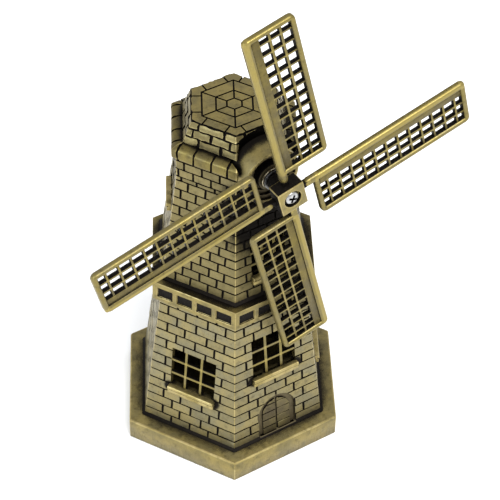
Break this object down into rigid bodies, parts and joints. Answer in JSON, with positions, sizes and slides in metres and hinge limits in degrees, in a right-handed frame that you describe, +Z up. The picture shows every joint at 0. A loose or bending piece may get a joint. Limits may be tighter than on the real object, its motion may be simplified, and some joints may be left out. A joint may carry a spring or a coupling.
{
  "type": "souvenir windmill figurine",
  "caption": "Die-cast miniature tower mill on a six-sided plinth, brick-textured tapered tower, gallery belt and cap, with freely turning lattice sails.",
  "frame": {"origin": "centre of the felt underside, on the tower's vertical axis", "axes": "+Z up the tower, -Y out of the face that carries the door and the sails, +X to the viewer's right when facing the door"},
  "size_m": [0.1314, 0.0692, 0.1805],
  "materials": {
    "antique_brass": "antiqued, dark patina in the recesses, worn bright on the raised edges",
    "steel": "nickel plated",
    "bush_brass": "turned, bright",
    "felt": "dark green pressed felt"
  },
  "bodies": {
    "tower": {"felt_pad": "felt", "bottom_cover": "steel", "cover_screw_1": "steel", "cover_screw_2": "steel", "cover_screw_3": "steel", "base_plinth": "antique_brass", "tie_rod": "steel", "tie_washer": "steel", "tie_nut": "steel", "lower_tower": "antique_brass", "gallery_belt": "antique_brass", "upper_tower": "antique_brass", "roof_cap": "antique_brass", "shaft_boss": "antique_brass", "bearing_bush": "bush_brass", "thrust_washer": "steel"},
    "rotor": {"windshaft": "steel", "shaft_circlip": "steel", "shaft_spacer": "antique_brass", "hub_block": "antique_brass", "hub_screw": "steel", "sail_1": "antique_brass", "sail_2": "antique_brass", "sail_3": "antique_brass", "sail_4": "antique_brass"}
  },
  "joints": [
    {"name": "rotor_spin", "type": "hinge", "parent": "tower", "child": "rotor", "pos_m": [0, -0.033, 0.1148], "axis": [0, -1, 0], "continuous": true}
  ]
}
